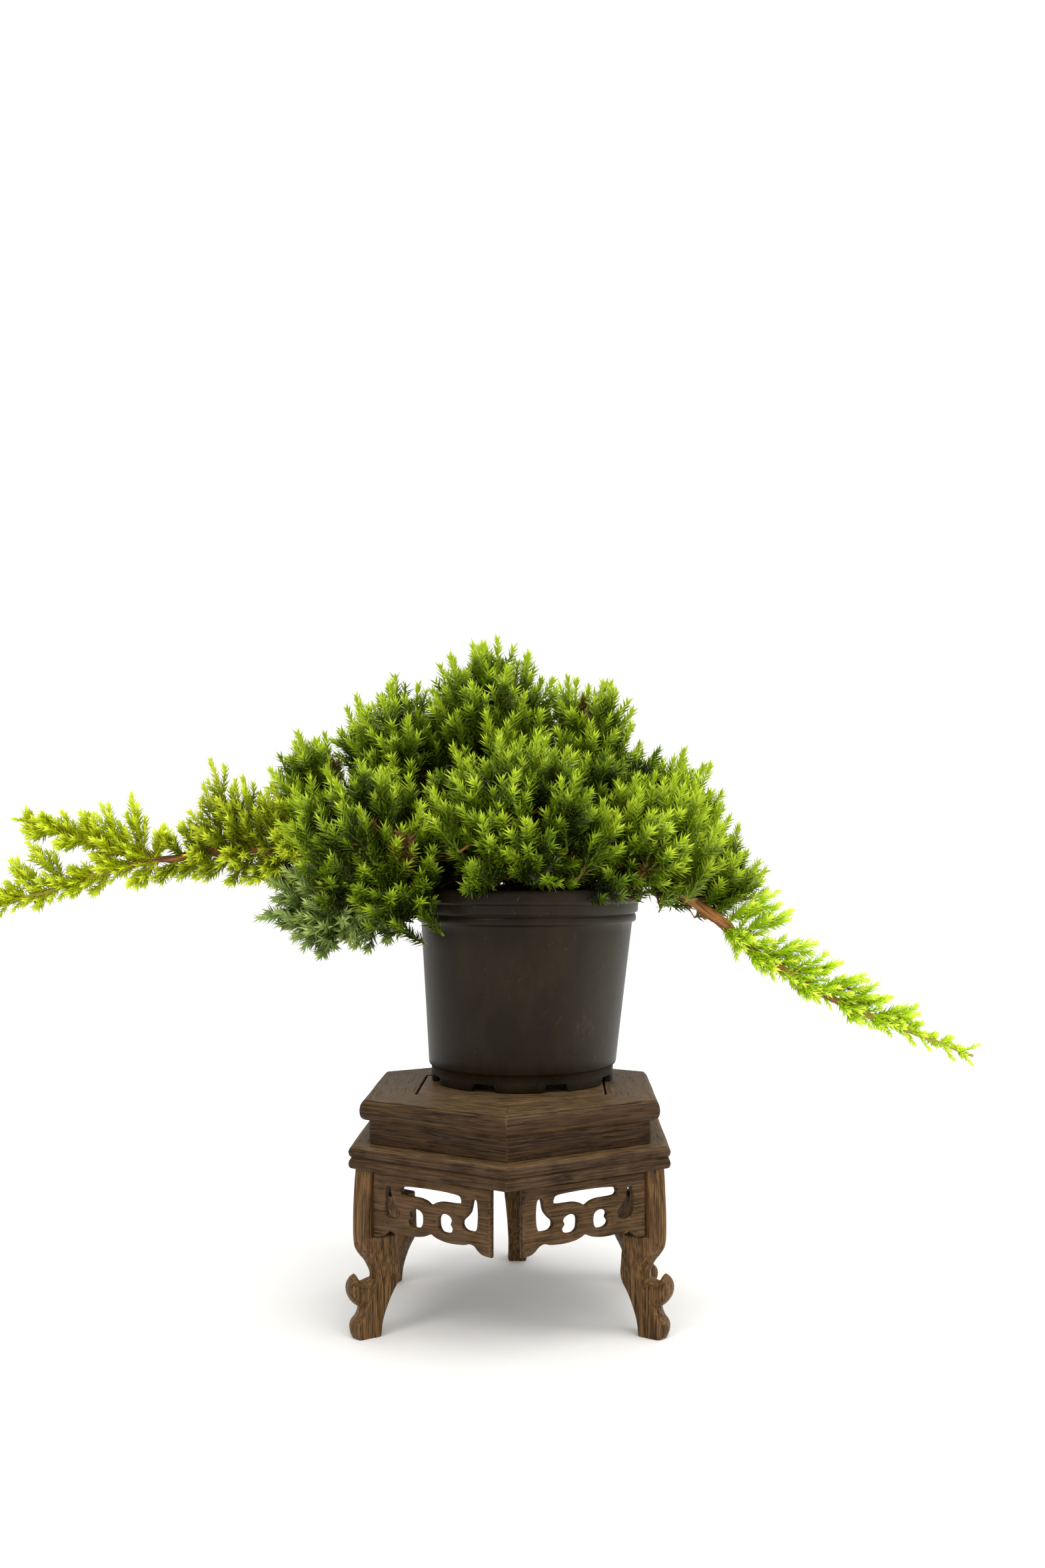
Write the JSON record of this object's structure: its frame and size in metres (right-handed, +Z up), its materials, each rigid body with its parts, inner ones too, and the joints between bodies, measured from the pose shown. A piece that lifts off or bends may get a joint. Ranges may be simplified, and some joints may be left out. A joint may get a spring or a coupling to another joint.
{
  "type": "potted juniper on a wooden stand",
  "caption": "Low spreading juniper with two trailing branches in a round black nursery pot, on a hexagonal carved wooden stand with scroll feet and its front leg missing.",
  "frame": {"origin": "on the ground, under the middle of the whole object's footprint", "axes": "+Z up, the missing leg's corner and the viewer towards -Y, the longest trailing branch towards -X"},
  "size_m": [0.7188, 0.2964, 0.486],
  "materials": {
    "stand_dark_wood": "satin",
    "stand_carved_wood": "satin",
    "pot_plastic": "satin",
    "soil": "matte",
    "bark": "matte",
    "needles": "satin"
  },
  "bodies": {
    "root": {"top_panel": "stand_dark_wood", "top_rail_1": "stand_dark_wood", "waist_board_1": "stand_dark_wood", "skirt_rail_1": "stand_dark_wood", "top_rail_2": "stand_dark_wood", "waist_board_2": "stand_dark_wood", "skirt_rail_2": "stand_dark_wood", "top_rail_3": "stand_dark_wood", "waist_board_3": "stand_dark_wood", "skirt_rail_3": "stand_dark_wood", "top_rail_4": "stand_dark_wood", "waist_board_4": "stand_dark_wood", "skirt_rail_4": "stand_dark_wood", "top_rail_5": "stand_dark_wood", "waist_board_5": "stand_dark_wood", "skirt_rail_5": "stand_dark_wood", "top_rail_6": "stand_dark_wood", "waist_board_6": "stand_dark_wood", "skirt_rail_6": "stand_dark_wood", "apron_1": "stand_carved_wood", "apron_2": "stand_carved_wood", "apron_3": "stand_carved_wood", "apron_4": "stand_carved_wood", "apron_5": "stand_carved_wood", "apron_6": "stand_carved_wood", "leg_front_left": "stand_carved_wood", "leg_front_right": "stand_carved_wood", "leg_back_left": "stand_carved_wood", "leg_back_right": "stand_carved_wood", "leg_back": "stand_carved_wood", "nursery_pot": "pot_plastic", "potting_soil": "soil", "trunk": "bark", "branch_left_trailing": "bark", "branch_right_trailing": "bark", "branch_crown": "bark", "branch_crown_left": "bark", "branch_crown_right": "bark", "branch_left_upper": "bark", "branch_right_upper": "bark", "branch_front": "bark", "branch_front_left": "bark", "branch_hanging_left": "bark", "branch_back": "bark", "foliage_crown": "needles", "foliage_crown_left": "needles", "foliage_crown_right": "needles", "foliage_left_upper": "needles", "foliage_right_upper": "needles", "foliage_front": "needles", "foliage_front_left": "needles", "foliage_front_right": "needles", "foliage_hanging_left": "needles", "foliage_right_lower": "needles", "foliage_back_left": "needles", "foliage_back_right": "needles", "foliage_trailing_left_inner": "needles", "foliage_trailing_left_lower": "needles", "foliage_trailing_left_upper": "needles", "foliage_trailing_right": "needles"}
  },
  "joints": []
}
